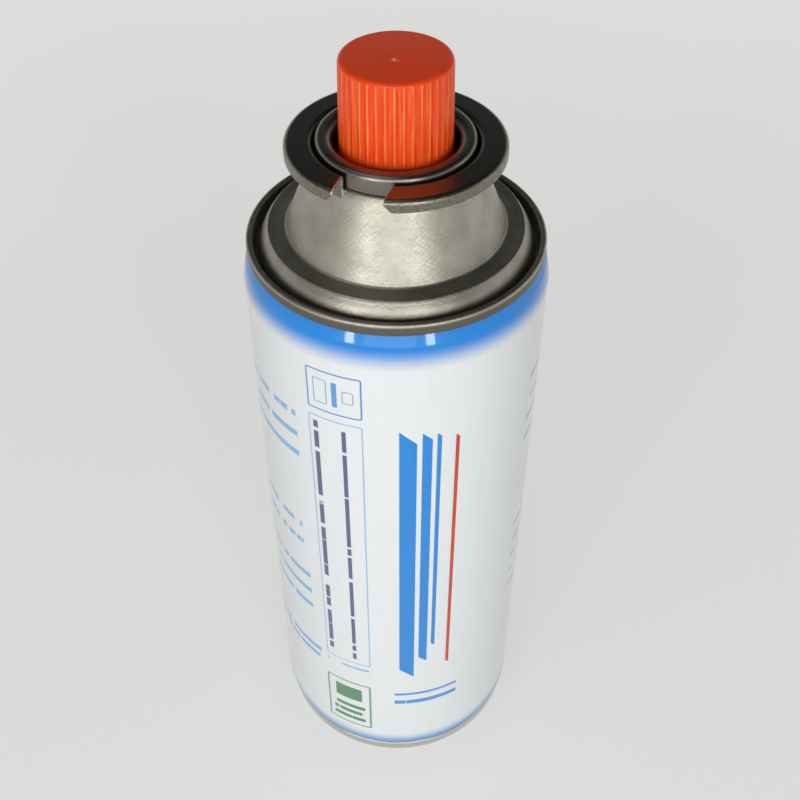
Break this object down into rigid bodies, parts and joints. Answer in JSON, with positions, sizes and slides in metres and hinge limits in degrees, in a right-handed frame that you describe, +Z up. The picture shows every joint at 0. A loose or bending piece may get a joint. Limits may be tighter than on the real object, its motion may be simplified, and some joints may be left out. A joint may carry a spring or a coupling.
{
  "type": "fuel canister",
  "caption": "Seamed tinplate gas canister with a notched collar round its neck, a crimped valve cup with a spring loaded stem, and a fluted push-on cap.",
  "frame": {"origin": "centre of the can's resting plane, on the can's axis", "axes": "+Z up along the can's axis, -Y towards the notch in the collar"},
  "size_m": [0.065, 0.065, 0.1982],
  "materials": {
    "printed_tinplate": "gloss white lacquer with blue bands at both ends",
    "bare_tinplate": "satin drawn tinplate with fine scratches",
    "collar_steel": "satin pressed steel, scuffed at the rim",
    "cap_plastic": "semi-gloss moulded polyethylene",
    "seal_rubber": "matt nitrile rubber",
    "valve_plastic": "natural white acetal",
    "spring_steel": "bright drawn spring wire"
  },
  "bodies": {
    "vessel": {"can": "printed_tinplate", "cup_gasket": "seal_rubber", "valve_cup": "bare_tinplate", "collar": "collar_steel", "stem_gasket": "seal_rubber", "valve_housing": "valve_plastic", "stem_spring": "spring_steel", "vapour_tube": "valve_plastic"},
    "stem": {"valve_stem": "valve_plastic"},
    "lid": {"cap": "cap_plastic"}
  },
  "joints": [
    {"name": "stem_press", "type": "slide", "parent": "vessel", "child": "stem", "axis": [0, 0, -1], "range_m": [0, 0.002], "stiffness_N_per_m": 3000, "springref_m": -0.002, "deforming": ["stem_spring"]},
    {"name": "cap_lift", "type": "slide", "parent": "vessel", "child": "lid", "axis": [0, 0, 1], "range_m": [0, 0.03]}
  ]
}
